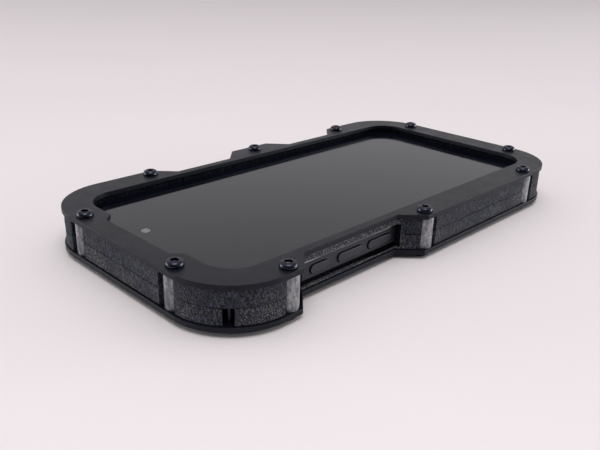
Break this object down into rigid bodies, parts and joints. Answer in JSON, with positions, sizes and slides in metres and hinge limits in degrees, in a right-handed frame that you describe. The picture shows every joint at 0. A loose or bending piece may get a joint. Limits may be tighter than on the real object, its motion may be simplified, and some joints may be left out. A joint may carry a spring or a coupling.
{
  "type": "phone case",
  "caption": "Rugged bolted phone case: black metal plates sandwich dense foam and round standoffs around a plain dark touchscreen device, with side buttons reached through chamfered recesses",
  "frame": {"origin": "under the middle of the case, level with the tips of the rear screw heads that it stands on", "axes": "+X is the device's right as its display is looked at, +Y runs to the earpiece end, +Z comes out of the display"},
  "size_m": [0.088, 0.1654, 0.016],
  "materials": {
    "plate_anodised": "black anodised, satin, faint fine grain",
    "foam": "dense closed-cell foam, rough cut edges with light flecks",
    "standoff_aluminium": "turned, bright natural aluminium",
    "screw_black": "black oxide over steel, slight sheen",
    "post_steel": "black oxide over steel",
    "device_frame": "dark anodised, bead blasted",
    "device_button": "dark anodised, bead blasted",
    "display_glass": "glossy black cover glass over a dark display",
    "back_glass": "dark frosted glass",
    "lens_glass": "coated lens glass in a dark ring",
    "flash_lens": "ribbed translucent plastic",
    "grille_mesh": "fine black mesh",
    "port_tongue": "black moulded plastic"
  },
  "bodies": {
    "case_with_device": {"front_plate": "plate_anodised", "rear_plate": "plate_anodised", "upper_foam": "foam", "lower_foam": "foam", "lanyard_post": "post_steel", "standoff_1": "standoff_aluminium", "standoff_2": "standoff_aluminium", "standoff_3": "standoff_aluminium", "standoff_4": "standoff_aluminium", "standoff_5": "standoff_aluminium", "standoff_6": "standoff_aluminium", "standoff_7": "standoff_aluminium", "standoff_8": "standoff_aluminium", "standoff_9": "standoff_aluminium", "standoff_10": "standoff_aluminium", "front_screw_1": "screw_black", "front_screw_2": "screw_black", "front_screw_3": "screw_black", "front_screw_4": "screw_black", "front_screw_5": "screw_black", "front_screw_6": "screw_black", "front_screw_7": "screw_black", "front_screw_8": "screw_black", "front_screw_9": "screw_black", "front_screw_10": "screw_black", "rear_screw_1": "screw_black", "rear_screw_2": "screw_black", "rear_screw_3": "screw_black", "rear_screw_4": "screw_black", "rear_screw_5": "screw_black", "rear_screw_6": "screw_black", "rear_screw_7": "screw_black", "rear_screw_8": "screw_black", "rear_screw_9": "screw_black", "rear_screw_10": "screw_black", "device_frame": "device_frame", "display_glass": "display_glass", "back_glass": "back_glass", "front_camera_lens": "lens_glass", "earpiece_grille": "grille_mesh", "camera_plateau": "back_glass", "rear_lens_upper": "lens_glass", "rear_lens_lower": "lens_glass", "flash_lens": "flash_lens", "port_tongue": "port_tongue"},
    "action_button": {"action_button": "device_button"},
    "volume_up_button": {"volume_up_button": "device_button"},
    "volume_down_button": {"volume_down_button": "device_button"},
    "side_button": {"side_button": "device_button"},
    "capture_button": {"capture_button": "device_button"}
  },
  "joints": [
    {"name": "action_button_press", "type": "slide", "parent": "case_with_device", "child": "action_button", "axis": [1, 0, 0], "range_m": [0, 0.0003], "stiffness_N_per_m": 4000},
    {"name": "volume_up_button_press", "type": "slide", "parent": "case_with_device", "child": "volume_up_button", "axis": [1, 0, 0], "range_m": [0, 0.0003], "stiffness_N_per_m": 4000},
    {"name": "volume_down_button_press", "type": "slide", "parent": "case_with_device", "child": "volume_down_button", "axis": [1, 0, 0], "range_m": [0, 0.0003], "stiffness_N_per_m": 4000},
    {"name": "side_button_press", "type": "slide", "parent": "case_with_device", "child": "side_button", "axis": [-1, 0, 0], "range_m": [0, 0.0003], "stiffness_N_per_m": 4000},
    {"name": "capture_button_press", "type": "slide", "parent": "case_with_device", "child": "capture_button", "axis": [-1, 0, 0], "range_m": [0, 0.0003], "stiffness_N_per_m": 4000}
  ]
}
